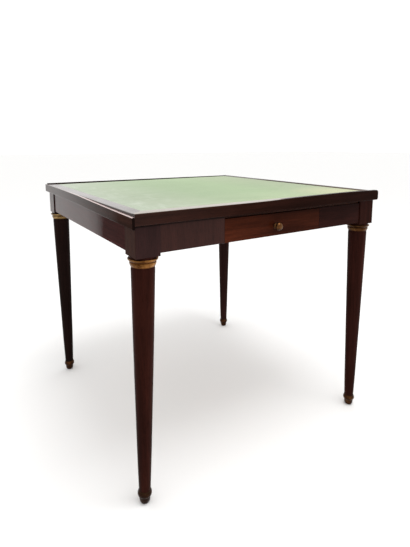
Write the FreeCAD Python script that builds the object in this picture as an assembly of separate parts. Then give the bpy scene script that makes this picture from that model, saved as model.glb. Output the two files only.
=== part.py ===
import FreeCAD, Part
import math
import os

os.makedirs("parts", exist_ok=True)

V = FreeCAD.Vector

# ---------------------------------------------------------------- driving sizes (mm)
HEIGHT = 750.0          # floor to the face of the top
TOP = 850.0             # outside of the top, both ways
TOP_T = 28.0            # thickness of the top at its edge
SIDE_LIP_T = 6.5        # left and right edge strips
END_LIP_T = 12.0        # front and back edge strips
LIP_DROP = 7.0          # how far the near end of the left strip has sunk
DROP_Y = 30.0           # it is flush behind this line
# the front strip has bowed up a little in its right half: place along it, height above the top
FRONT_RISE = ((-418.5, 0.6), (-80.0, 1.0), (0.0, 2.1), (80.0, 3.6), (160.0, 4.5), (250.0, 5.1), (320.0, 5.0),
              (375.0, 4.2))
END_RISE = 3.6          # the same at its right end
END_ROUND_TOP = 8.0     # rounding of the right end of the front strip, above and below
END_ROUND_LOW = 6.0
BACK_RISE = 3.0         # how far the left end of the back strip stands proud
BORDER = 38.0           # wooden border round the cloth, edge strip included
VENEER_T = 1.4          # border veneer
CLOTH_T = 1.2           # cloth laid between the border strips

FRAME = 828.0           # outside of the square leg blocks, both ways
BLOCK = 62.0            # leg block, both ways
BLOCK_BOTTOM = 645.0
APRON_T = 22.0
APRON_RECESS = 3.0      # apron face behind the block face
APRON_BOTTOM = 651.5
TENON_L = 28.0
TENON_T = 10.0

NECK_R = 32.0
COLLAR_TOP = 640.5
COLLAR_BOTTOM = 620.5
COLLAR_BORE_R = 28.0
SHAFT_TOP = 615.0
SHAFT_END = 36.0
SPIGOT_R = 10.5
SPIGOT_END = 10.0
# two old shafts lean a little below their blocks: how far each foot has moved, in x and y
LEAN = {"front_left": (-8.2, 5.2), "back_left": (3.2, -2.0)}

RAIL_TOP_Z0 = 714.5     # thin rail above the drawer
RAIL_TOP_RECESS = 9.0
RAIL_BACK_Y = 69.0      # both front rails reach this far in from the block face
RAIL_LOW_Z0 = 652.0
RAIL_LOW_Z1 = 660.5

DRAWER_HALF = 170.0     # half the width of the drawer front
DRAWER_GAP = 0.8
DRAWER_L = 340.0
DRAWER_FRONT_T = 18.0
SIDE_T = 10.0
SIDE_OUT = 162.0        # outer face of the drawer sides
SIDE_Z0 = 660.8
SIDE_Z1 = 708.0
BOTTOM_Z0 = 664.0
BOTTOM_T = 4.0
BACK_T = 10.0
KNOB_Z = 679.0
KNOB_OUT = 23.0         # knob tip in front of the drawer face

# ---------------------------------------------------------------- derived
HT = TOP / 2.0
HF = FRAME / 2.0
AX = HF - BLOCK / 2.0            # leg axis
UNDER = HEIGHT - TOP_T           # underside of the top
FACE = HF - APRON_RECESS         # apron face
INNER = FACE - APRON_T           # apron inner face
BLOCK_IN = HF - BLOCK            # inner face of a leg block
MID = FACE - APRON_T / 2.0       # middle plane of an apron
CORE_TOP = HEIGHT - VENEER_T
FRONT_Y = -FACE                  # face of the drawer front
TIP_Y = FRONT_Y - KNOB_OUT       # foremost point of the part
SHIFT_Y = -(TIP_Y + HT) / 2.0    # centres the outside box of the whole part


# ---------------------------------------------------------------- helpers
def box(x0, x1, y0, y1, z0, z1):
    x0, x1 = min(x0, x1), max(x0, x1)
    y0, y1 = min(y0, y1), max(y0, y1)
    z0, z1 = min(z0, z1), max(z0, z1)
    return Part.makeBox(x1 - x0, y1 - y0, z1 - z0, V(x0, y0, z0))


def rod(p, d, r, length):
    return Part.makeCylinder(r, length, p, d)


def prism(points, direction):
    wire = Part.makePolygon(points + [points[0]])
    return Part.Face(wire).extrude(direction)


def turned(profile, x, y):
    """Solid of revolution about a vertical line; profile is a closed list of (r, z)."""
    pts = [V(r, 0, z) for r, z in profile]
    face = Part.Face(Part.makePolygon(pts + [pts[0]]))
    solid = face.revolve(V(0, 0, 0), V(0, 0, 1), 360)
    solid.translate(V(x, y, 0))
    return solid


def along(shape, axis, test):
    """Straight edges running along one axis that pass the test on their middle point."""
    found = []
    for e in shape.Edges:
        a, b = e.Vertexes[0].Point, e.Vertexes[-1].Point
        d = b - a
        n = d.Length
        if n < 1.0:
            continue
        if abs(abs(d.dot(axis)) - n) < 1e-3 * n and test((a + b) * 0.5):
            found.append(e)
    return found


def put(name, shape):
    s = shape.copy()
    s.translate(V(0, SHIFT_Y, 0))
    if isinstance(s, Part.Compound) or len(s.Solids) != 1:
        s = Part.makeCompound(s.Solids)
    else:
        s = s.Solids[0]
    s.exportStep("parts/" + name + ".step")


CORNERS = {
    "front_left": (-1, -1),
    "front_right": (1, -1),
    "back_left": (-1, 1),
    "back_right": (1, 1),
}

# ---------------------------------------------------------------- legs, collars, foot cups
# Tapered shaft with a very slight swelling, from the foot cup up to the collar seat.
shaft_points = [(14.8, SHAFT_END), (17.3, 110.0), (19.3, 187.0), (21.6, 280.0),
                (23.9, 375.0), (26.4, 490.0), (28.8, SHAFT_TOP)]


def leg_turning(top_z):
    """Shaft of a leg, turned about the Z axis, up to the height top_z."""
    curve = Part.BSplineCurve()
    curve.interpolate([V(r, 0, z) for r, z in shaft_points])
    top = [V(28.8, 0, SHAFT_TOP), V(COLLAR_BORE_R, 0, SHAFT_TOP + 2.0),
           V(COLLAR_BORE_R, 0, COLLAR_TOP), V(NECK_R, 0, COLLAR_TOP),
           V(NECK_R, 0, COLLAR_TOP + 1.4), V(NECK_R - 0.8, 0, COLLAR_TOP + 2.6),
           V(NECK_R - 0.8, 0, top_z),
           V(0, 0, top_z), V(0, 0, SPIGOT_END), V(SPIGOT_R - 1.0, 0, SPIGOT_END),
           V(SPIGOT_R, 0, SPIGOT_END + 1.0), V(SPIGOT_R, 0, SHAFT_END), V(14.8, 0, SHAFT_END)]
    edges = [curve.toShape()]
    for a, b in zip(top[:-1], top[1:]):
        edges.append(Part.makeLine(a, b))
    wire = Part.Wire(Part.__sortEdges__(edges))
    return Part.Face(wire).revolve(V(0, 0, 0), V(0, 0, 1), 360)


def leaned(shape, key):
    """Turn a piece of a leg about the middle of the block's underside, by the lean of its shaft."""
    if key not in LEAN:
        return shape
    dx, dy = LEAN[key]
    sx, sy = CORNERS[key]
    s = shape.copy()
    s.rotate(V(sx * AX, sy * AX, BLOCK_BOTTOM), V(dy, -dx, 0),
             math.degrees(math.asin(math.hypot(dx, dy) / BLOCK_BOTTOM)))
    return s


def shaft(key, x, y):
    """The shaft in its place, ending in the plane of the block's underside."""
    end = BLOCK_BOTTOM + 0.01
    if key not in LEAN:
        t = leg_turning(end)
        t.translate(V(x, y, 0))
        return t
    t = leg_turning(end + 1.5)
    t.translate(V(x, y, 0))
    return leaned(t, key).common(box(x - 60, x + 60, y - 60, y + 60, 0, end))


def collar(x, y):
    t, b = COLLAR_TOP, COLLAR_BOTTOM
    profile = [(COLLAR_BORE_R, t), (35.1, t), (35.8, t - 0.5), (36.1, t - 1.4), (36.0, t - 2.8),
               (35.4, t - 3.9), (34.4, t - 4.8), (33.1, t - 5.8), (31.9, t - 7.0), (31.1, t - 7.7),
               (30.6, t - 8.4), (30.8, t - 9.1), (31.3, t - 9.6), (31.8, t - 10.6), (31.9, t - 12.0),
               (31.7, t - 13.6), (31.1, t - 15.2), (30.3, t - 16.8), (29.7, b + 1.6), (29.3, b + 0.6),
               (29.0, b), (COLLAR_BORE_R, b)]
    return turned(profile, x, y)


def foot_cup(x, y, low):
    """Cup of a foot; low is the height of its underside before a lean."""
    profile = [(SPIGOT_R, SHAFT_END), (15.2, SHAFT_END), (15.6, 35.2), (15.7, 33.8),
               (16.4, 32.4), (17.4, 30.4), (18.0, 28.2), (18.15, 26.2), (18.0, 24.2),
               (17.4, 22.0), (16.4, 20.2), (15.2, 19.0), (14.5, 17.8), (14.3, 15.0),
               (13.9, 11.0), (13.3, 7.0), (12.4, 4.0), (11.0, 1.6), (9.6, 0.4), (8.6, low),
               (3.6, low), (3.6, 3.4), (1.75, 5.2), (1.75, SPIGOT_END), (SPIGOT_R, SPIGOT_END)]
    return turned(profile, x, y)


def foot_screw(x, y):
    profile = [(0, 1.0), (3.4, 1.0), (3.4, 3.2), (1.75, 5.2), (1.75, 37.0), (0.0, 40.0)]
    return turned(profile, x, y)


def tenon_z(z0, z1):
    return z0 + 8.0, z1 - 9.0


foot_screws = []
for key, (sx, sy) in CORNERS.items():
    x, y = sx * AX, sy * AX
    t = shaft(key, x, y)
    block = box(sx * BLOCK_IN, sx * HF, sy * BLOCK_IN, sy * HF, BLOCK_BOTTOM, UNDER)
    block = block.makeFillet(0.8, [e for e in block.Edges if e.BoundBox.ZMin < BLOCK_BOTTOM + 1e-3])
    leg = block.fuse(t).removeSplitter()
    # mortise for the side apron (runs along Y)
    top_end = UNDER
    z0, z1 = tenon_z(APRON_BOTTOM, top_end)
    leg = leg.cut(box(sx * (MID - TENON_T / 2), sx * (MID + TENON_T / 2),
                      sy * BLOCK_IN, sy * (BLOCK_IN + TENON_L + 0.5), z0, z1))
    # mortise for the front panel or the back apron (runs along X)
    if sy < 0:
        z0, z1 = tenon_z(APRON_BOTTOM, RAIL_TOP_Z0)
    leg = leg.cut(box(sx * BLOCK_IN, sx * (BLOCK_IN + TENON_L + 0.5),
                      sy * (MID - TENON_T / 2), sy * (MID + TENON_T / 2), z0, z1))
    if sy < 0:
        # open housing for the thin upper rail, small mortise for the lower rail
        leg = leg.cut(box(sx * BLOCK_IN, sx * (BLOCK_IN + 14.0), -(HF - 18.0), -(HF - 42.0),
                          RAIL_TOP_Z0, UNDER + 1.0))
        leg = leg.cut(box(sx * BLOCK_IN, sx * (BLOCK_IN + 12.0), -(INNER - 5.0), -(INNER - 23.0),
                          RAIL_LOW_Z0, RAIL_LOW_Z1))
    # pilot hole for the foot screw
    pilot = turned([(0, SPIGOT_END - 1.0), (1.75, SPIGOT_END - 1.0), (1.75, 37.0), (0.0, 40.0)], x, y)
    leg = leg.cut(leaned(pilot, key))
    put("leg_" + key, leg)
    put("collar_" + key, leaned(collar(x, y), key))
    cup = foot_cup(x, y, 0.0)
    if key in LEAN:
        # its underside is filed flat again where it stands on the floor
        cup = leaned(foot_cup(x, y, -0.4), key).common(box(x - 60, x + 60, y - 60, y + 60, 0, 60))
    put("foot_cup_" + key, cup)
    foot_screws.append(leaned(foot_screw(x, y), key))

put("foot_screws", Part.makeCompound(foot_screws))

# ---------------------------------------------------------------- corner blocks and their screws
CB_REACH = 128.0        # leg of the triangle along each apron
CB_H = 30.0


def corner_block(sx, sy):
    top_z = RAIL_TOP_Z0 if sy < 0 else UNDER
    a = INNER - CB_REACH
    pts = [(INNER, a), (INNER, BLOCK_IN), (BLOCK_IN, BLOCK_IN), (BLOCK_IN, INNER), (a, INNER)]
    pts = [V(sx * px, sy * py, top_z - CB_H) for px, py in pts]
    return prism(pts, V(0, 0, CB_H)), top_z


CS = {}                 # screw placements, shared by blocks, aprons and top
for key, (sx, sy) in CORNERS.items():
    top_z = RAIL_TOP_Z0 if sy < 0 else UNDER
    zc = top_z - CB_H / 2.0
    CS[key] = dict(zc=zc, u=INNER - 70.0, top_z=top_z)

corner_screws = []
top_screws = []
side_holes = {"left": [], "right": []}
back_holes = []
front_holes = {"left": [], "right": []}
core_holes = []
for key, (sx, sy) in CORNERS.items():
    blk, top_z = corner_block(sx, sy)
    zc, u = CS[key]["zc"], CS[key]["u"]
    seat = INNER - 27.0
    # screw driven along X into the side apron
    sc = rod(V(sx * (seat - 3.0), sy * u, zc), V(sx, 0, 0), 4.0, 3.0).fuse(
        rod(V(sx * seat, sy * u, zc), V(sx, 0, 0), 2.1, 41.0))
    blk = blk.cut(rod(V(sx * (seat - 60.0), sy * u, zc), V(sx, 0, 0), 4.6, 60.0))
    blk = blk.cut(rod(V(sx * (seat - 1.0), sy * u, zc), V(sx, 0, 0), 2.1, 60.0))
    corner_screws.append(sc.removeSplitter())
    hole = rod(V(sx * (INNER - 1.0), sy * u, zc), V(sx, 0, 0), 2.1, 15.0)
    side_holes["left" if sx < 0 else "right"].append(hole)
    # screw driven along Y into the front panel or the back apron
    sc = rod(V(sx * u, sy * (seat - 3.0), zc), V(0, sy, 0), 4.0, 3.0).fuse(
        rod(V(sx * u, sy * seat, zc), V(0, sy, 0), 2.1, 41.0))
    blk = blk.cut(rod(V(sx * u, sy * (seat - 60.0), zc), V(0, sy, 0), 4.6, 60.0))
    blk = blk.cut(rod(V(sx * u, sy * (seat - 1.0), zc), V(0, sy, 0), 2.1, 60.0))
    corner_screws.append(sc.removeSplitter())
    hole = rod(V(sx * u, sy * (INNER - 1.0), zc), V(0, sy, 0), 2.1, 15.0)
    if sy > 0:
        back_holes.append(hole)
    else:
        front_holes["left" if sx < 0 else "right"].append(hole)
    # upright screw into the top
    c = BLOCK_IN - 17.0
    base = V(sx * c, sy * c, top_z - CB_H + 4.0)
    up = V(0, 0, 1)
    tip = UNDER + 17.0
    sc = rod(base, up, 4.0, 3.0).fuse(rod(base, up, 2.1, tip - base.z))
    blk = blk.cut(rod(base - V(0, 0, 10), up, 4.6, 13.0))
    blk = blk.cut(rod(base, up, 2.1, 60.0))
    top_screws.append(sc.removeSplitter())
    core_holes.append(rod(V(base.x, base.y, UNDER - 1.0), up, 2.1, 18.0))
    put("corner_block_" + key, blk)

put("corner_block_screws", Part.makeCompound(corner_screws))

# ---------------------------------------------------------------- top fixing buttons
BUTTON_W = 34.0
BUTTON_L = 32.0
BUTTON_Z0 = 706.0
BUTTON_TONGUE = 7.0
button_spots = [("left", 130.0), ("left", -130.0), ("right", 130.0), ("right", -130.0),
                ("back", 240.0), ("back", -240.0)]
buttons = []
button_screws = []
button_slots = {"left": [], "right": [], "back": []}
for side, off in button_spots:
    # made for the back apron at x = 0, then turned into place
    body = box(-BUTTON_W / 2, BUTTON_W / 2, INNER - BUTTON_L, INNER, BUTTON_Z0, UNDER)
    tongue = box(-BUTTON_W / 2, BUTTON_W / 2, INNER, INNER + BUTTON_TONGUE, BUTTON_Z0, BUTTON_Z0 + 6.0)
    b = body.fuse(tongue).removeSplitter()
    base = V(0, INNER - 18.0, BUTTON_Z0)
    up = V(0, 0, 1)
    b = b.cut(rod(base - V(0, 0, 1), up, 4.4, 4.0))
    b = b.cut(rod(base, up, 1.9, 40.0))
    s = rod(base, up, 3.8, 3.0).fuse(rod(base, up, 1.9, UNDER + 15.0 - BUTTON_Z0)).removeSplitter()
    h = rod(V(0, INNER - 18.0, UNDER - 1.0), up, 1.9, 16.0)
    slot = box(-BUTTON_W / 2 - 3, BUTTON_W / 2 + 3, INNER - 1.0, INNER + BUTTON_TONGUE + 1.0,
               BUTTON_Z0 - 0.5, BUTTON_Z0 + 6.5)
    for item, store in ((b, buttons), (s, button_screws), (h, core_holes), (slot, button_slots[side])):
        item.translate(V(off, 0, 0))
        if side == "left":
            item.rotate(V(0, 0, 0), V(0, 0, 1), 90)
        elif side == "right":
            item.rotate(V(0, 0, 0), V(0, 0, 1), -90)
        store.append(item)

put("top_buttons", Part.makeCompound(buttons))
put("top_screws", Part.makeCompound(top_screws + button_screws))

# ---------------------------------------------------------------- aprons
def apron(side):
    z0, z1 = tenon_z(APRON_BOTTOM, UNDER)
    board = box(-BLOCK_IN, BLOCK_IN, INNER, FACE, APRON_BOTTOM, UNDER)
    outer_low = along(board, V(1, 0, 0), lambda m: m.z < APRON_BOTTOM + 1 and m.y > FACE - 1)
    board = board.makeFillet(1.2, outer_low)
    for s in (-1, 1):
        board = board.fuse(box(s * (BLOCK_IN - 1.0), s * (BLOCK_IN + TENON_L),
                               MID - TENON_T / 2, MID + TENON_T / 2, z0, z1))
    board = board.removeSplitter()
    if side == "left":
        board.rotate(V(0, 0, 0), V(0, 0, 1), 90)
    elif side == "right":
        board.rotate(V(0, 0, 0), V(0, 0, 1), -90)
    for slot in button_slots[side]:
        board = board.cut(slot)
    for hole in (back_holes if side == "back" else side_holes[side]):
        board = board.cut(hole)
    return board


for side in ("left", "right", "back"):
    put("apron_" + side, apron(side))

# fixed halves of the front, either side of the drawer
OPEN_HALF = DRAWER_HALF + DRAWER_GAP
for side, s in (("left", -1), ("right", 1)):
    z0, z1 = tenon_z(APRON_BOTTOM, RAIL_TOP_Z0)
    panel = box(s * OPEN_HALF, s * BLOCK_IN, FRONT_Y, -INNER, APRON_BOTTOM, RAIL_TOP_Z0)
    low = along(panel, V(1, 0, 0), lambda m: m.z < APRON_BOTTOM + 1 and m.y < FRONT_Y + 1)
    panel = panel.makeFillet(1.2, low)
    panel = panel.fuse(box(s * (BLOCK_IN - 1.0), s * (BLOCK_IN + TENON_L),
                           -(MID - TENON_T / 2), -(MID + TENON_T / 2), z0, z1)).removeSplitter()
    if side == "left":
        # the left half laps over the rail and closes up to the top; the right half stops short
        panel = panel.fuse(box(s * OPEN_HALF, s * BLOCK_IN, FRONT_Y, -(HF - RAIL_TOP_RECESS),
                               RAIL_TOP_Z0 - 1.0, UNDER)).removeSplitter()
    for hole in front_holes[side]:
        panel = panel.cut(hole)
    put("front_panel_" + side, panel)

# thin rail over the drawer, set back so that a dark line shows under the top
y_back = -(HF - RAIL_BACK_Y)
upper = box(-BLOCK_IN, BLOCK_IN, -(HF - RAIL_TOP_RECESS), y_back, RAIL_TOP_Z0, UNDER)
for s in (-1, 1):
    upper = upper.fuse(box(s * (BLOCK_IN - 1), s * (BLOCK_IN + 14.0), -(HF - 18.0), -(HF - 42.0),
                           RAIL_TOP_Z0, UNDER))
put("front_rail_upper", upper.removeSplitter())

# flat rail behind and under the drawer front
lower = box(-BLOCK_IN, BLOCK_IN, -INNER, y_back, RAIL_LOW_Z0, RAIL_LOW_Z1)
for s in (-1, 1):
    lower = lower.fuse(box(s * (BLOCK_IN - 1), s * (BLOCK_IN + 12.0), -(INNER - 5.0), -(INNER - 23.0),
                           RAIL_LOW_Z0, RAIL_LOW_Z1))
put("front_rail_lower", lower.removeSplitter())

# ---------------------------------------------------------------- drawer run inside the frame
for side, s in (("left", -1), ("right", 1)):
    put("drawer_runner_" + side, box(s * 144.0, s * 186.0, y_back, INNER, RAIL_LOW_Z0, RAIL_LOW_Z1))
    put("drawer_guide_" + side, box(s * (SIDE_OUT + 0.5), s * (SIDE_OUT + 14.0), -(INNER - 0.5), INNER,
                                    RAIL_LOW_Z1, RAIL_LOW_Z1 + 13.0))
    put("drawer_kicker_" + side, box(s * 146.0, s * 172.0, y_back, INNER, SIDE_Z1 + 0.7, UNDER))
DRAWER_END = FRONT_Y + DRAWER_L
stops = [box(s * 148.0, s * (SIDE_OUT + 0.5), DRAWER_END + 0.3, DRAWER_END + 24.0,
             RAIL_LOW_Z1, RAIL_LOW_Z1 + 16.0) for s in (-1, 1)]
put("drawer_stops", Part.makeCompound(stops))

# ---------------------------------------------------------------- drawer
yf0 = FRONT_Y
yf1 = FRONT_Y + DRAWER_FRONT_T
IN = SIDE_OUT - SIDE_T
GROOVE = 5.0


def tails(s):
    """Dovetail tails of one drawer side, wider toward the drawer face."""
    out = []
    reach = 11.0
    for zc, half in ((SIDE_Z0 + 17.0, 5.5), (SIDE_Z0 + 34.0, 5.5)):
        pts = [V(s * IN, yf1 + 0.5, zc - half), V(s * IN, yf1 + 0.5, zc + half),
               V(s * IN, yf1 - reach, zc + half + 1.8), V(s * IN, yf1 - reach, zc - half - 1.8)]
        pr = prism(pts, V(s * SIDE_T, 0, 0))
        out.append(pr)
    return out


front = box(-DRAWER_HALF, DRAWER_HALF, yf0, yf1, APRON_BOTTOM, RAIL_TOP_Z0 - DRAWER_GAP)
front = front.makeFillet(0.8, [e for e in front.Edges
                               if abs(e.BoundBox.YMax - yf0) < 1e-3 and abs(e.BoundBox.YMin - yf0) < 1e-3])
for s in (-1, 1):
    for tail in tails(s):
        front = front.cut(tail)
front = front.cut(box(-IN, IN, yf1 - GROOVE, yf1 + 1.0, BOTTOM_Z0, BOTTOM_Z0 + BOTTOM_T))
front = front.cut(rod(V(0, yf0 - 1.0, KNOB_Z), V(0, 1, 0), 2.0, DRAWER_FRONT_T + 2.0))
put("drawer_front", front)

BACK_Y1 = DRAWER_END - 6.0
BACK_Y0 = BACK_Y1 - BACK_T
DADO = 4.0
for side, s in (("left", -1), ("right", 1)):
    body = box(s * IN, s * SIDE_OUT, yf1, DRAWER_END, SIDE_Z0, SIDE_Z1)
    top_edges = along(body, V(0, 1, 0), lambda m: m.z > SIDE_Z1 - 1)
    body = body.makeFillet(1.5, top_edges)
    for tail in tails(s):
        body = body.fuse(tail)
    body = body.removeSplitter()
    body = body.cut(box(s * (IN - 1), s * (IN + GROOVE), yf1 - 20.0, DRAWER_END + 1.0,
                        BOTTOM_Z0, BOTTOM_Z0 + BOTTOM_T))
    body = body.cut(box(s * (IN - 1), s * (IN + DADO), BACK_Y0, BACK_Y1,
                        BOTTOM_Z0 + BOTTOM_T, SIDE_Z1 + 1.0))
    put("drawer_side_" + side, body)

put("drawer_back", box(-(IN + DADO), IN + DADO, BACK_Y0, BACK_Y1, BOTTOM_Z0 + BOTTOM_T, SIDE_Z1 - 3.0))
bottom = box(-(IN + GROOVE), IN + GROOVE, yf1, BACK_Y1, BOTTOM_Z0, BOTTOM_Z0 + BOTTOM_T).fuse(
    box(-IN, IN, yf1 - GROOVE, yf1 + 1.0, BOTTOM_Z0, BOTTOM_Z0 + BOTTOM_T)).removeSplitter()
put("drawer_bottom", bottom)

# knob, its backplate and the screw through the drawer front
def turned_y(profile, z):
    """Solid of revolution about a line along Y; profile is (r, distance in front of the face)."""
    pts = [V(r, FRONT_Y - d, z) for r, d in profile]
    face = Part.Face(Part.makePolygon(pts + [pts[0]]))
    return face.revolve(V(0, 0, z), V(0, 1, 0), 360)


plate = turned_y([(2.0, 0.0), (8.8, 0.0), (8.8, 0.7), (8.3, 1.4), (7.4, 1.9), (6.8, 2.4),
                  (6.2, 2.4), (2.0, 2.4)], KNOB_Z)
put("knob_backplate", plate)
knob = turned_y([(2.0, 2.4), (6.0, 2.4), (5.4, 3.2), (4.4, 4.2), (4.2, 5.4), (4.6, 6.6), (5.8, 7.5),
                 (7.8, 8.3), (9.5, 9.5), (10.5, 11.1), (11.0, 12.9), (11.0, 14.7), (10.6, 16.4),
                 (9.8, 18.1), (8.6, 19.6), (7.0, 20.9), (5.0, 22.0), (2.6, 22.75), (0.0, KNOB_OUT),
                 (0.0, 15.0), (2.0, 13.5)], KNOB_Z)
put("drawer_knob", knob)
screw = turned_y([(0.0, -DRAWER_FRONT_T - 2.6), (3.0, -DRAWER_FRONT_T - 2.4), (4.4, -DRAWER_FRONT_T - 1.2),
                  (4.6, -DRAWER_FRONT_T), (2.0, -DRAWER_FRONT_T), (2.0, 12.5), (0.0, 12.5)], KNOB_Z)
put("knob_screw", screw)

# ---------------------------------------------------------------- top
SX = HT - SIDE_LIP_T
SY = HT - END_LIP_T
core = box(-SX, SX, -SY, SY, UNDER, CORE_TOP)
for hole in core_holes:
    core = core.cut(hole)
put("top_panel", core)


def end_profile(x1, y):
    """Outline of the front strip seen from the front; it has bowed up a little and its right end is rounded."""
    places = [(x, HEIGHT + d) for x, d in FRONT_RISE]
    slope = (HEIGHT + END_RISE - places[-1][1]) / (x1 - END_ROUND_TOP - places[-1][0])
    lean = math.atan(slope)
    places.append((x1 - END_ROUND_TOP * (1 + math.sin(lean)), HEIGHT + END_RISE))
    pts = [V(x, y, z) for x, z in places]
    curve = Part.BSplineCurve()
    first, second, last = pts[0], pts[1], pts[-1]
    curve.interpolate(Points=pts[1:], InitialTangent=second - first, FinalTangent=V(1, 0, slope))
    r, q = END_ROUND_TOP, END_ROUND_LOW
    c = V(x1 - r, y, last.z - r * math.cos(lean))
    a = math.radians(45) + lean / 2
    upper = Part.Arc(last, c + V(r * math.cos(a), 0, r * math.sin(a)), V(x1, y, c.z)).toShape()
    d = V(x1 - q, y, UNDER + q)
    h = math.sqrt(0.5) * q
    lower = Part.Arc(V(x1, y, d.z), d + V(h, 0, -h), V(d.x, y, UNDER)).toShape()
    low_l = V(first.x, y, UNDER)
    return Part.Wire([Part.makeLine(first, second), curve.toShape(), upper, Part.makeLine(V(x1, y, c.z), V(x1, y, d.z)), lower,
                      Part.makeLine(V(d.x, y, UNDER), low_l), Part.makeLine(low_l, first)])


# front strip: runs over the end of the right strip, with its own end rounded
s = Part.Face(end_profile(HT, -HT)).extrude(V(0, END_LIP_T, 0))
rim = [e for e in s.Edges if e.BoundBox.YMax < -HT + 1e-3 and e.BoundBox.ZMax > UNDER + 6.0
       and e.BoundBox.XMax > -SX + 1.0]
s = s.makeFillet(3.0, rim)
put("top_edge_front", s)


def lipping_back():
    # its left end has lifted a little, like the right end of the front strip
    s = prism([V(-SX, SY, UNDER), V(SX, SY, UNDER), V(SX, SY, HEIGHT), V(-SX, SY, HEIGHT + BACK_RISE)],
              V(0, END_LIP_T, 0))
    up = along(s, V(1, 0, 0), lambda m: m.z > HEIGHT - 1 and m.y > HT - 1)
    s = s.makeFillet(3.5, up)
    low = along(s, V(1, 0, 0), lambda m: m.z < UNDER + 1 and m.y > HT - 1)
    return s.makeFillet(2.5, low)


put("top_edge_back", lipping_back())


def side_section(sx, y, d):
    """Cross section of a side strip at one place along it, sunk by d; both outer edges are rounded."""
    up, low = 2.6, 3.0
    inner, outer = sx * SX, sx * HT
    t, u = HEIGHT - d, UNDER - d
    h = math.sqrt(0.5)
    corner_t = V(outer - sx * up, y, t - up)
    corner_u = V(outer - sx * low, y, u + low)
    return Part.Wire([
        Part.makeLine(V(inner, y, u), V(outer - sx * low, y, u)),
        Part.Arc(V(outer - sx * low, y, u), corner_u + V(sx * low * h, 0, -low * h), V(outer, y, u + low)).toShape(),
        Part.makeLine(V(outer, y, u + low), V(outer, y, t - up)),
        Part.Arc(V(outer, y, t - up), corner_t + V(sx * up * h, 0, up * h), V(outer - sx * up, y, t)).toShape(),
        Part.makeLine(V(outer - sx * up, y, t), V(inner, y, t)),
        Part.makeLine(V(inner, y, t), V(inner, y, u))])


def lipping_side(sx, near, drop):
    """Side strip; with a drop it is straight at the back and its near end is bent down."""
    if drop:
        steps = [(0.0, 0.0), (0.05, 0.015), (0.10, 0.06), (0.18, 0.15), (0.30, 0.29), (0.45, 0.48),
                 (0.70, 0.75), (1.0, 1.0)]
        places = [(HT, 0.0)] + [(DROP_Y + (near - DROP_Y) * t, drop * d) for t, d in steps]
    else:
        places = [(HT, 0.0), (near, 0.0)]
    return Part.makeLoft([side_section(sx, y, d) for y, d in places], True, True)


put("top_edge_left", lipping_side(-1, -HT, LIP_DROP))
put("top_edge_right", lipping_side(1, -SY, 0.0))

# border veneers, mitred at the corners, and the cloth between them
BI = HT - BORDER
for name, a, b, c, d in (
        ("front", (-SX, -SY), (SX, -SY), (BI, -BI), (-BI, -BI)),
        ("back", (SX, SY), (-SX, SY), (-BI, BI), (BI, BI)),
        ("left", (-SX, SY), (-SX, -SY), (-BI, -BI), (-BI, BI)),
        ("right", (SX, -SY), (SX, SY), (BI, BI), (BI, -BI))):
    pts = [V(p[0], p[1], CORE_TOP) for p in (a, b, c, d)]
    put("border_" + name, prism(pts, V(0, 0, VENEER_T)))
put("baize", box(-BI, BI, -BI, BI, CORE_TOP, CORE_TOP + CLOTH_T))
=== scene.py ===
import math
import random

import bmesh
import bpy
import numpy as np
from mathutils import Matrix, Vector, noise


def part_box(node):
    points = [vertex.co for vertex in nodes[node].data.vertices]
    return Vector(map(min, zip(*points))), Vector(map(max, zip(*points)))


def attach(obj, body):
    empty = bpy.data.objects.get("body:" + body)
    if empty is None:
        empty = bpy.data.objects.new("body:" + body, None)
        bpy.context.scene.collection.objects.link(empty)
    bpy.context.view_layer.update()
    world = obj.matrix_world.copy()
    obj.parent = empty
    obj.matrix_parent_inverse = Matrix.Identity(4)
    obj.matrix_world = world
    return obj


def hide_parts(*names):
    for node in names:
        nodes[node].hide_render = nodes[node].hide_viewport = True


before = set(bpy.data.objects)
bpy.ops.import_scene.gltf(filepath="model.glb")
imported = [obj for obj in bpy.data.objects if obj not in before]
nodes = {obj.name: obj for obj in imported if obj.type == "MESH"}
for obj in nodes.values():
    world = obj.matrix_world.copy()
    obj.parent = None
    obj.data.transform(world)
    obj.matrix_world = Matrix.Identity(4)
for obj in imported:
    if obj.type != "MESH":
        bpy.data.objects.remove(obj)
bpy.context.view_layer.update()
random.seed(7)

scene = bpy.context.scene
scene.view_settings.view_transform = "Standard"
scene.view_settings.look = "None"
scene.view_settings.exposure = 0.0
scene.view_settings.gamma = 1.0

MM = 0.001
SHIFT_Y = 0.0045            # the table's own centre in the part's frame


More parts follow.
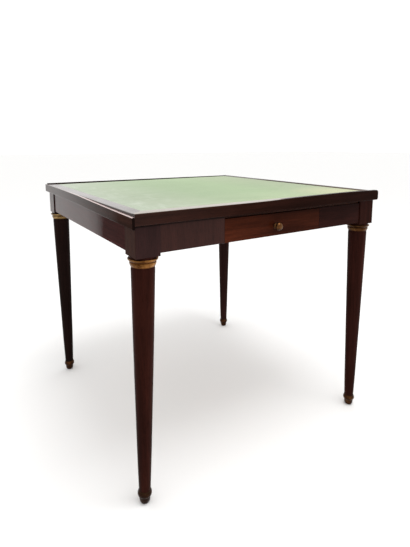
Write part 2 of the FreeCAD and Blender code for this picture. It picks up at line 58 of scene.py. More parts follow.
# ------------------------------------------------------------------ node helpers
class Mat:
    """A small wrapper that lays nodes down and links them."""

    def __init__(self, name):
        self.m = bpy.data.materials.new(name)
        self.m.use_nodes = True
        self.t = self.m.node_tree
        self.t.nodes.clear()
        self.out = self.add("ShaderNodeOutputMaterial")
        self.b = self.add("ShaderNodeBsdfPrincipled")
        self.t.links.new(self.b.outputs[0], self.out.inputs["Surface"])
        self.co = None

    def add(self, kind, **props):
        n = self.t.nodes.new(kind)
        for k, v in props.items():
            setattr(n, k, v)
        return n

    def link(self, a, b):
        self.t.links.new(a, b)

    def coords(self, loc=(0, 0, 0), rot=(0, 0, 0), scale=(1, 1, 1)):
        if self.co is None:
            self.co = self.add("ShaderNodeTexCoord")
        mp = self.add("ShaderNodeMapping")
        mp.inputs["Location"].default_value = loc
        mp.inputs["Rotation"].default_value = rot
        mp.inputs["Scale"].default_value = scale
        self.link(self.co.outputs["Object"], mp.inputs["Vector"])
        return mp.outputs[0]

    def noise(self, vec, scale, detail=4.0, rough=0.55, distort=0.0, lac=2.0):
        n = self.add("ShaderNodeTexNoise")
        n.inputs["Scale"].default_value = scale
        n.inputs["Detail"].default_value = detail
        n.inputs["Roughness"].default_value = rough
        n.inputs["Lacunarity"].default_value = lac
        n.inputs["Distortion"].default_value = distort
        self.link(vec, n.inputs["Vector"])
        return n.outputs["Fac"]

    def ramp(self, fac, stops, mode="LINEAR"):
        r = self.add("ShaderNodeValToRGB")
        r.color_ramp.interpolation = mode
        els = r.color_ramp.elements
        while len(els) < len(stops):
            els.new(0.5)
        for e, (p, c) in zip(els, stops):
            e.position = p
            e.color = c if len(c) == 4 else (*c, 1.0)
        self.link(fac, r.inputs["Fac"])
        return r.outputs["Color"]

    def grey(self, fac, p0, v0, p1, v1):
        """Map fac between p0 and p1 to the values v0 to v1, clamped."""
        n = self.add("ShaderNodeMapRange")
        n.inputs["From Min"].default_value = p0
        n.inputs["From Max"].default_value = p1
        n.inputs["To Min"].default_value = v0
        n.inputs["To Max"].default_value = v1
        self.link(fac, n.inputs["Value"])
        return n.outputs["Result"]

    def math(self, op, a, b=None, clamp=False):
        n = self.add("ShaderNodeMath", operation=op)
        n.use_clamp = clamp
        for i, v in enumerate((a, b)):
            if v is None:
                continue
            if isinstance(v, (int, float)):
                n.inputs[i].default_value = v
            else:
                self.link(v, n.inputs[i])
        return n.outputs[0]

    def mix(self, fac, a, b, blend="MIX"):
        n = self.add("ShaderNodeMix", data_type="RGBA", blend_type=blend)
        if isinstance(fac, (int, float)):
            n.inputs["Factor"].default_value = fac
        else:
            self.link(fac, n.inputs["Factor"])
        for i, v in ((6, a), (7, b)):
            if isinstance(v, tuple):
                n.inputs[i].default_value = v if len(v) == 4 else (*v, 1.0)
            else:
                self.link(v, n.inputs[i])
        return n.outputs[2]

    def axis(self, name):
        if self.co is None:
            self.co = self.add("ShaderNodeTexCoord")
        s = self.add("ShaderNodeSeparateXYZ")
        self.link(self.co.outputs["Object"], s.inputs[0])
        return s.outputs[name]

    def bump(self, height, strength, distance, normal=None):
        n = self.add("ShaderNodeBump")
        n.inputs["Strength"].default_value = strength
        n.inputs["Distance"].default_value = distance
        self.link(height, n.inputs["Height"])
        if normal is not None:
            self.link(normal, n.inputs["Normal"])
        return n.outputs[0]

    def set(self, **kw):
        names = {"rough": "Roughness", "metal": "Metallic", "spec": "Specular IOR Level", "ior": "IOR",
                 "coat": "Coat Weight", "coat_rough": "Coat Roughness", "coat_ior": "Coat IOR",
                 "sheen": "Sheen Weight", "sheen_rough": "Sheen Roughness", "sheen_tint": "Sheen Tint",
                 "color": "Base Color", "normal": "Normal", "aniso": "Anisotropic",
                 "coat_normal": "Coat Normal"}
        for k, v in kw.items():
            s = self.b.inputs[names[k]]
            if isinstance(v, (int, float)):
                s.default_value = v
            elif isinstance(v, tuple):
                s.default_value = v if len(v) == 4 else (*v, 1.0)
            else:
                self.link(v, s)
        return self


def stretch(grain, along, across):
    """Scale for a coordinate so that a pattern runs along the grain axis."""
    return tuple(along if a == grain else across for a in "XYZ")


def varnished(name, grain, dark, mid, light, spec=0.22, rough=(0.10, 0.2), seed=0.0, fig=1.0,
              coat=0.0, shade=None, overhang_shadow=None):
    """Dark mahogany under old varnish: broad stripe, fine pores, smudges and small scratches.
    spec may be (axis, from, value, to, value): the polish is duller at one end of the piece.
    shade, written the same way, paints shade: it darkens the colour toward one end.
    A (height, depth) pair as the last argument paints the shadow under an overhang: below that height, this far down,
    the colour goes near black and the polish dulls."""
    m = Mat(name)
    off = (seed, seed * 1.7, seed * 0.6)
    broad = m.noise(m.coords(off, scale=stretch(grain, 1.3, 16.0)), 2.2, 5.0, 0.6, 0.6)
    stripe = m.noise(m.coords(off, scale=stretch(grain, 0.9, 62.0)), 3.0, 4.0, 0.65, 0.25)
    pores = m.noise(m.coords(off, scale=stretch(grain, 22.0, 620.0)), 2.2, 2.0, 0.6)
    cloud = m.noise(m.coords(off), 5.0, 3.0, 0.5)
    f = m.math("ADD", m.math("MULTIPLY", broad, 0.6 * fig), m.math("MULTIPLY", stripe, 0.4))
    f = m.math("ADD", f, m.math("MULTIPLY", m.math("SUBTRACT", cloud, 0.5), 0.35))
    col = m.ramp(f, [(0.30, dark), (0.50, mid), (0.70, light)])
    pore = m.grey(pores, 0.36, 0.62, 0.47, 1.0)
    col = m.mix(1.0, col, m.ramp(pore, [(0.0, (0, 0, 0)), (1.0, (1, 1, 1))]), "MULTIPLY")
    for sh in ((shade,) if isinstance(shade, tuple) and isinstance(shade[0], str) else (shade or ())):
        g = m.grey(m.axis(sh[0]), sh[1], sh[2], sh[3], sh[4])
        col = m.mix(1.0, col, m.ramp(g, [(0.0, (0, 0, 0)), (1.0, (1, 1, 1))]), "MULTIPLY")
    overhang_shadow_mask = None
    # painted shadow under the top's overhang: near-black colour and duller polish below the given height
    if overhang_shadow is not None:
        patchy = m.math("MULTIPLY", m.math("SUBTRACT", cloud, 0.5), overhang_shadow[1] * 0.5)
        overhang_shadow_mask = m.grey(m.math("ADD", m.axis("Z"), patchy), overhang_shadow[0] - overhang_shadow[1], 0.0, overhang_shadow[0] - overhang_shadow[1] * 0.45, 1.0)
        col = m.mix(overhang_shadow_mask, col, (0.0095, 0.0052, 0.0045))
    smudge = m.noise(m.coords(off), 11.0, 5.0, 0.62, 0.4)
    if isinstance(spec, tuple):
        along = m.math("ADD", m.axis(spec[0]), m.math("MULTIPLY", m.math("SUBTRACT", smudge, 0.5), 0.10))
        spec = m.grey(along, spec[1], spec[2], spec[3], spec[4])
    if overhang_shadow_mask is not None:
        spec = m.math("MULTIPLY", spec, m.grey(overhang_shadow_mask, 0.0, 1.0, 1.0, 0.25))
    scratch = m.noise(m.coords(off, rot=(0.3, 0.5, 0.7), scale=(3.0, 260.0, 40.0)), 1.4, 2.0, 0.5)
    r = m.grey(smudge, 0.35, rough[0], 0.68, rough[1])
    r = m.math("ADD", r, m.grey(scratch, 0.66, 0.0, 0.76, 0.10))
    ripple = m.noise(m.coords(off, scale=stretch(grain, 1.0, 5.0)), 14.0, 2.0, 0.5)
    n1 = m.bump(ripple, 0.25, 0.0010)
    n2 = m.bump(pores, 0.10, 0.00025, n1)
    m.set(color=col, rough=r, spec=spec, normal=n2)
    if coat:
        m.set(coat=coat, coat_rough=0.07, coat_ior=1.5, coat_normal=n1)
    return m.m


def bare(name, grain, dark, light, seed=0.0, rough=0.62):
    """Planed, unfinished timber with age darkening."""
    m = Mat(name)
    off = (seed, seed * 2.1, seed * 0.7)
    broad = m.noise(m.coords(off, scale=stretch(grain, 1.6, 22.0)), 2.0, 5.0, 0.6, 0.8)
    fine = m.noise(m.coords(off, scale=stretch(grain, 12.0, 420.0)), 2.0, 3.0, 0.6)
    dirt = m.noise(m.coords(off), 9.0, 5.0, 0.65)
    f = m.math("ADD", m.math("MULTIPLY", broad, 0.75), m.math("MULTIPLY", fine, 0.25))
    col = m.ramp(f, [(0.30, dark), (0.72, light)])
    col = m.mix(m.grey(dirt, 0.52, 0.0, 0.78, 0.45), col, tuple(c * 0.45 for c in dark))
    m.set(color=col, rough=m.grey(fine, 0.3, rough - 0.08, 0.7, rough + 0.12), spec=0.3,
          normal=m.bump(fine, 0.35, 0.0004))
    return m.m


def paint(obj, mat):
    obj.data.materials.clear()
    obj.data.materials.append(mat)


# ------------------------------------------------------------------ metals
def gilt(name, base, dark, z_marks, rough=(0.24, 0.42), wear=(0.75, 0.55, 0.30), shaded_side=None,
         groove=(0.035, 0.018, 0.008)):
    """Cast brass with dirt settled in the grooves, which lie at known heights (height, half width).
    An (axis, from, value, to, value) argument for the shaded side paints shade: it darkens the piece toward one side
    or end."""
    m = Mat(name)
    z = m.axis("Z")
    blotch = m.noise(m.coords(), 38.0, 5.0, 0.65, 0.3)
    fine = m.noise(m.coords(), 420.0, 3.0, 0.6)
    col = m.ramp(blotch, [(0.30, dark), (0.52, base), (0.75, wear)])
    # painted shade: the colour darkens toward one side of the piece
    if shaded_side is not None:
        g = m.grey(m.axis(shaded_side[0]), shaded_side[1], shaded_side[2], shaded_side[3], shaded_side[4])
        col = m.mix(1.0, col, m.ramp(g, [(0.0, (0, 0, 0)), (1.0, (1, 1, 1))]), "MULTIPLY")
    dirt = None
    for h, w in z_marks:
        d = m.math("ABSOLUTE", m.math("SUBTRACT", z, h))
        g = m.grey(d, w * 0.35, 1.0, w, 0.0)
        dirt = g if dirt is None else m.math("MAXIMUM", dirt, g)
    if dirt is not None:
        dirt = m.math("MULTIPLY", dirt, m.grey(fine, 0.3, 0.75, 0.6, 1.0), True)
        col = m.mix(dirt, col, groove)
    r = m.grey(blotch, 0.3, rough[1], 0.7, rough[0])
    if dirt is not None:
        r = m.math("ADD", r, m.math("MULTIPLY", dirt, 0.3))
    m.set(color=col, metal=1.0, rough=r, normal=m.bump(m.noise(m.coords(), 160.0, 4.0, 0.6), 0.18, 0.0006))
    return m.m


COLLAR_GROOVES = [(0.6321, 0.0016), (0.6212, 0.0014)]
collar_brass = {}
# each collar has its own tones, lighter or darker as the light falls on it: lit and shaded copies of one brass,
# painted light and shade; the near and right collars are also painted darker toward their left side
for key, tones, left_shade_level in (
        ("front_left", ((0.330, 0.148, 0.042), (0.105, 0.036, 0.0080), (0.66, 0.36, 0.145)), 0.42),
        ("front_right", ((0.135, 0.056, 0.019), (0.042, 0.014, 0.0045), (0.36, 0.185, 0.070)), 0.30),
        ("back_left", ((0.200, 0.125, 0.050), (0.070, 0.036, 0.0120), (0.42, 0.285, 0.130)), None),
        ("back_right", ((0.100, 0.046, 0.017), (0.036, 0.014, 0.0050), (0.24, 0.130, 0.055)), None)):
    c_lo, c_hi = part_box("collar_" + key)
    c_mid = (c_lo.x + c_hi.x) / 2
    collar_brass[key] = gilt("gilt_brass_" + key, tones[0], tones[1], COLLAR_GROOVES, rough=(0.22, 0.42),
                             wear=tones[2], groove=tuple(1.1 * a for a in tones[1]),
                             shaded_side=None if left_shade_level is None else ("X", c_mid - 0.034, left_shade_level, c_mid + 0.020, 1.0))
bronze = gilt("patinated_bronze", (0.046, 0.0185, 0.0085), (0.017, 0.0066, 0.0038),
              [(0.0350, 0.0016), (0.0186, 0.0018), (0.0015, 0.0025)], rough=(0.28, 0.46),
              wear=(0.165, 0.072, 0.025))
# a darker copy of the same bronze for the near foot's cup: painted shade
bronze_shaded = gilt("patinated_bronze_dark", (0.027, 0.0115, 0.0062), (0.012, 0.0052, 0.0034),
                   [(0.0350, 0.0016), (0.0186, 0.0018), (0.0015, 0.0025)], rough=(0.30, 0.48),
                   wear=(0.085, 0.040, 0.017))
# the knob's lower half is painted darker: painted shade
knob_brass = gilt("knob_brass", (0.115, 0.050, 0.018), (0.040, 0.015, 0.006), [], rough=(0.26, 0.44),
                  wear=(0.25, 0.130, 0.056), shaded_side=("Z", 0.6685, 0.20, 0.6765, 1.0))
plate_brass = gilt("plate_brass", (0.030, 0.012, 0.006), (0.013, 0.005, 0.003), [], rough=(0.34, 0.5),
                   wear=(0.085, 0.042, 0.022))


def steel():
    m = Mat("screw_steel")
    n = m.noise(m.coords(), 300.0, 4.0, 0.6)
    m.set(color=m.ramp(n, [(0.35, (0.10, 0.075, 0.055)), (0.6, (0.34, 0.33, 0.32))]), metal=1.0,
          rough=m.grey(n, 0.3, 0.55, 0.7, 0.3), normal=m.bump(n, 0.2, 0.0002))
    return m.m


screw = steel()

# ------------------------------------------------------------------ woods
# each leg has its own tones, lighter or darker as the light falls on it: lit and shaded copies of one mahogany,
# painted light and shade; the near leg is also painted darker on its left side
leg_tone = {                 # dark, middle and light of each leg, and how strongly it shines
    "front_left": ((0.0145, 0.0040, 0.0026), (0.027, 0.0070, 0.0047), (0.044, 0.0112, 0.0073), 0.014, 1.3),
    "front_right": ((0.0125, 0.0036, 0.0024), (0.023, 0.0062, 0.0044), (0.038, 0.0098, 0.0068), 0.014, 4.9),
    "back_left": ((0.0055, 0.0028, 0.0022), (0.0100, 0.0046, 0.0038), (0.0165, 0.0072, 0.0056), 0.014, 8.2),
    "back_right": ((0.011, 0.0042, 0.0036), (0.020, 0.0078, 0.0068), (0.034, 0.0120, 0.0100), 0.014, 12.7),
}
leg_wood = {k: varnished("mahogany_leg_" + k, "Z", d, c, l, spec=sp, rough=(0.24, 0.38), seed=sd,
                         shade=("X", -0.408, 0.66, -0.384, 1.0) if k == "front_left" else None)
            for k, (d, c, l, sp, sd) in leg_tone.items()}
# front_left_wood, side_wood, block_left and block_side darken toward their top: painted shadow under the top's
# overhang
front_left_wood = varnished("mahogany_front_left", "Z", (0.023, 0.0080, 0.0062), (0.034, 0.0114, 0.0088),
                            (0.047, 0.0152, 0.0115), spec=0.10, rough=(0.14, 0.24), seed=3.1,
                            overhang_shadow=(0.722, 0.0075))
front_wood = varnished("mahogany_front", "X", (0.010, 0.0030, 0.0024), (0.020, 0.0056, 0.0042),
                       (0.033, 0.0090, 0.0066), spec=0.02, rough=(0.2, 0.3), seed=3.7,
                       shade=("Z", 0.682, 1.0, 0.716, 0.55))
side_wood = varnished("mahogany_side", "Y", (0.018, 0.0052, 0.0046), (0.034, 0.0094, 0.0084),
                      (0.056, 0.0156, 0.0138), spec=("Y", -0.200, 0.003, -0.040, 0.128), rough=(0.10, 0.18), seed=6.4,
                      overhang_shadow=(0.722, 0.0060))
back_wood = varnished("mahogany_back", "X", (0.010, 0.0034, 0.0028), (0.020, 0.0064, 0.0052),
                      (0.034, 0.0105, 0.0080), spec=0.16, seed=9.9)
drawer_wood = varnished("mahogany_drawer", "X", (0.021, 0.0050, 0.0027), (0.043, 0.0096, 0.0042),
                        (0.074, 0.0166, 0.0072), spec=0.02, rough=(0.2, 0.3), seed=14.2, fig=1.25,
                        shade=(("Z", 0.680, 1.0, 0.715, 0.50), ("X", -0.10, 1.0, 0.08, 0.72)))
block_left = varnished("mahogany_block_left", "Z", (0.018, 0.0076, 0.0071), (0.026, 0.0106, 0.0100),
                       (0.036, 0.0138, 0.0128), spec=0.06, rough=(0.16, 0.26), seed=21.0,
                       overhang_shadow=(0.722, 0.0075))
block_side = varnished("mahogany_block_side", "Z", (0.018, 0.0075, 0.0052), (0.031, 0.0120, 0.0082),
                       (0.048, 0.0178, 0.0120), spec=0.006, rough=(0.16, 0.26), seed=22.0,
                       overhang_shadow=(0.722, 0.0065))
edge_x = varnished("mahogany_edge_x", "X", (0.0105, 0.0036, 0.0024), (0.019, 0.0062, 0.0040),
                   (0.032, 0.0100, 0.0066), spec=("X", -0.42, 0.085, -0.12, 0.014), rough=(0.16, 0.26), seed=2.2,
                   shade=("X", -0.16, 1.0, 0.10, 0.68))
edge_end = varnished("mahogany_edge_end", "Y", (0.0040, 0.0020, 0.0016), (0.0070, 0.0034, 0.0028),
                     (0.0120, 0.0056, 0.0044), spec=0.01, rough=(0.3, 0.4), seed=25.1)
edge_far = varnished("mahogany_edge_far", "X", (0.009, 0.0040, 0.0030), (0.016, 0.0068, 0.0050),
                     (0.028, 0.0110, 0.0080), spec=0.0, rough=(0.24, 0.34), seed=23.4)
edge_y = varnished("mahogany_edge_y", "Y", (0.012, 0.0054, 0.0036), (0.024, 0.0098, 0.0068),
                   (0.040, 0.0155, 0.0110), spec=("Y", -0.34, 0.002, 0.20, 0.110), rough=(0.10, 0.18), seed=5.8)
# the left strip's top face is painted pale pink, a painted highlight that fades toward the back
edge_top_highlight = varnished("mahogany_edge_top", "Y", (0.38, 0.27, 0.255), (0.50, 0.38, 0.365),
                     (0.61, 0.49, 0.475), spec=("Y", -0.12, 1.0, 0.14, 0.16), rough=(0.10, 0.18), seed=15.8,
                     shade=("Y", -0.10, 1.0, 0.16, 0.24))
border_left = varnished("border_left", "Y", (0.034, 0.021, 0.019), (0.062, 0.041, 0.038), (0.100, 0.070, 0.066),
                        spec=("Y", -0.40, 0.54, 0.40, 0.17), rough=(0.10, 0.2), seed=11.1)
border_front = varnished("border_front", "X", (0.090, 0.062, 0.038), (0.150, 0.106, 0.065), (0.215, 0.155, 0.097),
                         spec=("X", -0.14, 0.42, 0.10, 0.08), rough=(0.10, 0.2), seed=7.7, coat=0.20)
border_right = varnished("border_right", "Y", (0.044, 0.0300, 0.0230), (0.080, 0.055, 0.042), (0.120, 0.084, 0.066),
                         spec=("Y", 0.10, 0.002, 0.30, 0.10), rough=(0.30, 0.45), seed=17.9,
                         shade=("Y", -0.32, 1.0, -0.10, 0.50))
# the recessed upper rail is painted lighter than the front's wood: painted light against the shade of its recess
rail_wood_lightened = varnished("mahogany_rail", "X", (0.026, 0.0100, 0.0070), (0.048, 0.0180, 0.0120),
                      (0.072, 0.0270, 0.0180), spec=0.03, rough=(0.2, 0.3), seed=27.3)
border_back = varnished("border_back", "X", (0.010, 0.008, 0.006), (0.020, 0.016, 0.012), (0.036, 0.029, 0.023),
                        spec=0.0, rough=(0.40, 0.55), seed=19.3)
beech_y = bare("beech_y", "Y", (0.20, 0.115, 0.058), (0.38, 0.24, 0.135), 1.0)
beech_x = bare("beech_x", "X", (0.20, 0.115, 0.058), (0.36, 0.225, 0.125), 2.0)
oak_y = bare("oak_y", "Y", (0.19, 0.11, 0.052), (0.36, 0.235, 0.125), 3.0, 0.55)
oak_x = bare("oak_x", "X", (0.19, 0.11, 0.052), (0.34, 0.22, 0.118), 4.0, 0.55)
ply = bare("plywood", "Y", (0.27, 0.175, 0.09), (0.46, 0.33, 0.19), 5.0, 0.55)
core = bare("core_board", "X", (0.12, 0.062, 0.032), (0.23, 0.13, 0.07), 6.0, 0.6)


def drawer_front_faces(obj):
    """Polished veneer on the face, the ends and the edges; bare timber on the back."""
    me = obj.data
    me.materials.clear()
    me.materials.append(drawer_wood)
    me.materials.append(oak_x)
    for p in me.polygons:
        p.material_index = 1 if p.normal.y > 0.5 else 0


def split_faces(obj, mats, pick):
    """One material slot per entry of mats; pick(polygon) gives the slot's number."""
    me = obj.data
    me.materials.clear()
    for m in mats:
        me.materials.append(m)
    for p in me.polygons:
        p.material_index = pick(p)


def carcass_faces(obj, outside, inside, axis, sign):
    """Polished outside; the face that looks inward is unfinished timber."""
    split_faces(obj, (outside, inside), lambda p: 1 if p.normal[axis] * sign > 0.5 else 0)


for key in ("front_left", "front_right", "back_left", "back_right"):
    paint(nodes["leg_" + key], leg_wood[key])
    paint(nodes["collar_" + key], collar_brass[key])
    paint(nodes["foot_cup_" + key], bronze_shaded if key == "front_left" else bronze)
    paint(nodes["corner_block_" + key], beech_x)
# the square blocks at the head of the near and far left legs shine like the rails beside them
split_faces(nodes["leg_front_left"], (leg_wood["front_left"], block_left, block_side),
            lambda p: 0 if p.center.z < 0.6455 else (2 if p.normal.x < -0.5 else 1))
split_faces(nodes["leg_back_left"], (leg_wood["back_left"], side_wood),
            lambda p: 1 if p.center.z > 0.6455 and p.normal.x < -0.5 else 0)
carcass_faces(nodes["apron_left"], side_wood, beech_y, 0, 1)
carcass_faces(nodes["apron_right"], side_wood, beech_y, 0, -1)
carcass_faces(nodes["apron_back"], back_wood, beech_x, 1, -1)
carcass_faces(nodes["front_panel_left"], front_left_wood, beech_x, 1, 1)
carcass_faces(nodes["front_panel_right"], front_wood, beech_x, 1, 1)
for s in ("left", "right"):
    paint(nodes["drawer_runner_" + s], beech_y)
    paint(nodes["drawer_guide_" + s], beech_y)
    paint(nodes["drawer_kicker_" + s], beech_y)
    paint(nodes["drawer_side_" + s], oak_y)
split_faces(nodes["top_edge_front"], (edge_x, border_front),
            lambda p: 1 if p.normal.z > 0.9 and p.center.x < 0.02 else 0)
paint(nodes["top_edge_back"], edge_far)
split_faces(nodes["top_edge_left"], (edge_y, edge_top_highlight, edge_end),
            lambda p: 2 if p.normal.y < -0.9 else (1 if p.normal.z > 0.55 else 0))
paint(nodes["top_edge_right"], edge_x)
paint(nodes["border_left"], border_left)
paint(nodes["border_right"], border_right)
paint(nodes["border_front"], border_front)
paint(nodes["border_back"], border_back)
paint(nodes["front_rail_upper"], rail_wood_lightened)
paint(nodes["front_rail_lower"], beech_x)
paint(nodes["drawer_stops"], beech_y)
paint(nodes["top_buttons"], beech_y)
# the board's own edge shows where the left strip has sunk: stained dark
split_faces(nodes["top_panel"], (core, edge_x), lambda p: 1 if abs(p.normal.z) < 0.5 else 0)
drawer_front_faces(nodes["drawer_front"])
paint(nodes["drawer_back"], oak_x)
paint(nodes["drawer_bottom"], ply)
paint(nodes["drawer_knob"], knob_brass)
paint(nodes["knob_backplate"], plate_brass)
for n in ("foot_screws", "corner_block_screws", "top_screws", "knob_screw"):
    paint(nodes[n], screw)


# ------------------------------------------------------------------ the cloth
def baize_material():
    m = Mat("green_baize")
    nap = m.noise(m.coords(), 900.0, 3.0, 0.6)
    weave_a = m.noise(m.coords(scale=(1.0, 7.0, 1.0)), 260.0, 2.0, 0.5)
    weave_b = m.noise(m.coords(scale=(7.0, 1.0, 1.0)), 260.0, 2.0, 0.5)
    mott = m.noise(m.coords((0.3, 0.8, 0.0)), 7.5, 5.0, 0.6, 0.6)
    brush = m.noise(m.coords((2.3, 0.1, 0.0), scale=(1.0, 5.0, 1.0)), 9.0, 3.0, 0.55)
    f = m.math("ADD", m.math("MULTIPLY", mott, 0.55), m.math("MULTIPLY", brush, 0.45))
    # painted sheen: pale and grey along the left, lighter and bluer toward the back; painted light along the front
    # middle and right; greenest in the middle, yellower at the right
    x, y = m.axis("X"), m.axis("Y")
    wide = m.grey(x, -0.387, 0.0, 0.387, 1.0)
    base = m.ramp(wide, [(0.0, (0.318, 0.345, 0.286)), (0.11, (0.292, 0.322, 0.245)), (0.37, (0.204, 0.274, 0.146)),
                         (0.63, (0.214, 0.296, 0.144)), (1.0, (0.234, 0.262, 0.158))])
    near = m.math("MULTIPLY", m.grey(y, -0.38, 1.0, -0.20, 0.0), m.grey(x, -0.30, 0.0, -0.12, 1.0))
    far = m.grey(y, 0.14, 0.0, 0.36, 1.0)
    base = m.mix(near, m.mix(1.0, base, (0.86, 0.86, 0.86), "MULTIPLY"), m.mix(1.0, base, (1.14, 1.02, 1.13), "MULTIPLY"))
    base = m.mix(far, base, m.mix(1.0, base, (1.26, 1.20, 1.32), "MULTIPLY"))
    # a yellower patch near the right front corner
    dx = m.math("SUBTRACT", x, 0.34)
    dy = m.math("SUBTRACT", y, -0.37)
    patch = m.math("SQRT", m.math("ADD", m.math("MULTIPLY", dx, dx), m.math("MULTIPLY", dy, dy)))
    base = m.mix(m.grey(patch, 0.05, 1.0, 0.19, 0.0), base, (0.365, 0.345, 0.200))
    # a slightly darker spot near the left front corner
    ex = m.math("ADD", x, 0.28)
    ey = m.math("ADD", y, 0.18)
    spot = m.math("SQRT", m.math("ADD", m.math("MULTIPLY", ex, ex), m.math("MULTIPLY", ey, ey)))
    base = m.mix(m.grey(spot, 0.05, 1.0, 0.19, 0.0), base, m.mix(1.0, base, (0.91, 0.91, 0.89), "MULTIPLY"))
    # painted sheen in pale streaks along the left
    left_sheen = m.noise(m.coords((1.1, 4.0, 0.0), scale=(4.0, 1.5, 1.0)), 9.0, 5.0, 0.65, 0.8)
    left_sheen = m.math("MULTIPLY", m.grey(left_sheen, 0.48, 0.0, 0.66, 0.42), m.grey(x, -0.35, 1.0, -0.14, 0.0))
    base = m.mix(left_sheen, base, (0.440, 0.455, 0.420))
    tone = m.ramp(f, [(0.34, (0.78, 0.84, 0.78)), (0.50, (0.94, 0.95, 0.93)), (0.66, (1.0, 1.0, 1.0))])
    col = m.mix(1.0, base, tone, "MULTIPLY")
    fib = m.math("ADD", m.math("MULTIPLY", weave_a, 0.5), m.math("MULTIPLY", weave_b, 0.5))
    col = m.mix(m.grey(fib, 0.40, 0.20, 0.60, 0.0), col, (0.19, 0.25, 0.145))
    h = m.math("ADD", m.math("MULTIPLY", nap, 0.6), m.math("MULTIPLY", fib, 0.4))
    m.set(color=col, rough=0.92, spec=0.25, sheen=0.5, sheen_rough=0.45, sheen_tint=(0.80, 0.92, 0.74),
          normal=m.bump(h, 0.45, 0.0006))
    return m.m


def make_cloth():
    """Baize glued on the core board: nearly flat, with a soft cut edge and a hint of unevenness."""
    lo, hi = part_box("baize")
    nx = 90
    gap = 0.0004
    x0, x1, y0, y1 = lo.x + gap, hi.x - gap, lo.y + gap, hi.y - gap
    base, top = lo.z, hi.z
    bm = bmesh.new()
    rows = []
    ring = [0.0, 0.0006, 0.0016]
    us = ring + [ring[-1] + (x1 - x0 - 2 * ring[-1]) * i / nx for i in range(1, nx)] + \
        [x1 - x0 - r for r in reversed(ring)]
    drop = {0: 0.00045, 1: 0.00016, 2: 0.00003}
    n = len(us)
    for i, u in enumerate(us):
        row = []
        for j, v in enumerate(us):
            x, y = x0 + u, y0 + v * (y1 - y0) / (x1 - x0)
            e = min(i, j, n - 1 - i, n - 1 - j)
            z = top - drop.get(e, 0.0)
            z += 0.00010 * (noise.noise(Vector((x * 9, y * 9, 0.3))) - 0.3) if e > 2 else 0.0
            row.append(bm.verts.new((x, y, min(z, top))))
        rows.append(row)
    for i in range(n - 1):
        for j in range(n - 1):
            bm.faces.new((rows[i][j], rows[i + 1][j], rows[i + 1][j + 1], rows[i][j + 1]))
    # the edge turns down to the board, and a flat underside closes the sheet
    border = [rows[i][0] for i in range(n)] + [rows[n - 1][j] for j in range(1, n)] + \
        [rows[i][n - 1] for i in range(n - 2, -1, -1)] + [rows[0][j] for j in range(n - 2, 0, -1)]
    low = [bm.verts.new((v.co.x, v.co.y, base + 0.00002)) for v in border]
    k = len(border)
    for i in range(k):
        bm.faces.new((border[i], low[i], low[(i + 1) % k], border[(i + 1) % k]))
    bm.faces.new(list(reversed(low)))
    bmesh.ops.recalc_face_normals(bm, faces=bm.faces)
    me = bpy.data.meshes.new("baize_cloth")
    bm.to_mesh(me)
    bm.free()
    for p in me.polygons:
        p.use_smooth = True
    o = bpy.data.objects.new("baize_cloth", me)
    scene.collection.objects.link(o)
    paint(o, baize_material())
    return o, (x1 - x0, y1 - y0)


cloth, cloth_size = make_cloth()
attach(cloth, "table")
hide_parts("baize")


# ------------------------------------------------------------------ stage
def stage_floor():
    me = bpy.data.meshes.new("floor")
    r = 40.0
    me.from_pydata([(-r, -r, 0), (r, -r, 0), (r, r, 0), (-r, r, 0)], [], [(0, 1, 2, 3)])
    o = bpy.data.objects.new("floor", me)
    scene.collection.objects.link(o)
    m = Mat("floor_paint")
    m.set(color=(0.92, 0.92, 0.92), rough=0.9, spec=0.02)
    paint(o, m.m)


stage_floor()


def area(name, loc, target, size, energy, color=(1, 1, 1)):
    d = bpy.data.lights.new(name, "AREA")
    d.shape = "RECTANGLE"
    d.size, d.size_y = size
    d.energy = energy
    d.color = color
    o = bpy.data.objects.new(name, d)
    o.location = loc
    o.rotation_euler = (Vector(target) - Vector(loc)).to_track_quat("-Z", "Y").to_euler()
    scene.collection.objects.link(o)
    return o


VIEW = Vector((math.sin(math.radians(32.5)), math.cos(math.radians(32.5)), 0.0))


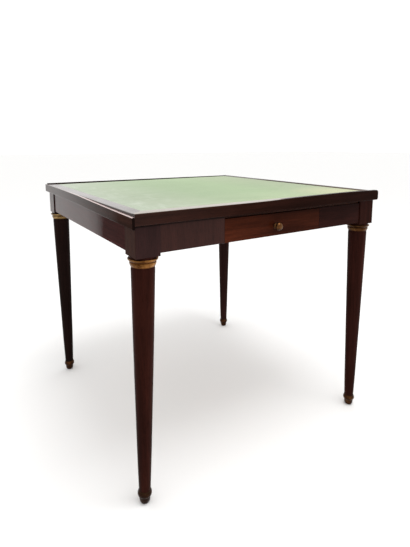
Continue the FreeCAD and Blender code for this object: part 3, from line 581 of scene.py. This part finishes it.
def soft_world():
    """Pale surround, brightest toward the far side and dimmer toward the near side."""
    w = bpy.data.worlds.new("studio")
    scene.world = w
    w.use_nodes = True
    t = w.node_tree
    t.nodes.clear()
    out = t.nodes.new("ShaderNodeOutputWorld")
    bg = t.nodes.new("ShaderNodeBackground")
    co = t.nodes.new("ShaderNodeTexCoord")
    dot = t.nodes.new("ShaderNodeVectorMath")
    dot.operation = "DOT_PRODUCT"
    dot.inputs[1].default_value = VIEW
    mr = t.nodes.new("ShaderNodeMapRange")
    mr.interpolation_type = "SMOOTHSTEP"
    mr.inputs["From Min"].default_value = 0.25
    mr.inputs["From Max"].default_value = 0.86
    mr.inputs["To Min"].default_value = 1.06
    mr.inputs["To Max"].default_value = 1.16
    t.links.new(co.outputs["Generated"], dot.inputs[0])
    t.links.new(dot.outputs["Value"], mr.inputs["Value"])
    t.links.new(mr.outputs["Result"], bg.inputs["Strength"])
    bg.inputs["Color"].default_value = (1.0, 0.995, 0.985, 1.0)
    t.links.new(bg.outputs[0], out.inputs["Surface"])


soft_world()
area("key", (0.14, -0.66, 3.0), (0, 0, 0.3), (1.6, 1.6), 46.0)

# ------------------------------------------------------------------ camera
F_PX, PX, PY = 421.114, 205.0, 206.58
W_PX, H_PX = 410.0, 547.0
YAW, PITCH, ROLL = math.radians(32.374), math.radians(8.415), math.radians(-0.092)
LOC = Vector((-0.7710, -1.2609, 0.8999))
fwd = Vector((math.sin(YAW) * math.cos(PITCH), math.cos(YAW) * math.cos(PITCH), -math.sin(PITCH)))
right = Vector((math.cos(YAW), -math.sin(YAW), 0.0))
up = right.cross(fwd)
r2 = math.cos(ROLL) * right + math.sin(ROLL) * up
u2 = -math.sin(ROLL) * right + math.cos(ROLL) * up
cam_data = bpy.data.cameras.new("camera")
cam_data.sensor_fit = "VERTICAL"
cam_data.sensor_height = 36.0
cam_data.sensor_width = 36.0 * W_PX / H_PX
cam_data.lens = F_PX / H_PX * 36.0
cam_data.shift_x = -(PX - W_PX / 2) / H_PX
cam_data.shift_y = (PY - H_PX / 2) / H_PX
cam_data.clip_start = 0.02
cam_data.clip_end = 120.0
cam = bpy.data.objects.new("camera", cam_data)
cam.matrix_world = Matrix((
    (r2.x, u2.x, -fwd.x, LOC.x),
    (r2.y, u2.y, -fwd.y, LOC.y),
    (r2.z, u2.z, -fwd.z, LOC.z),
    (0, 0, 0, 1)))
scene.collection.objects.link(cam)
scene.camera = cam
bpy.context.scene.camera = cam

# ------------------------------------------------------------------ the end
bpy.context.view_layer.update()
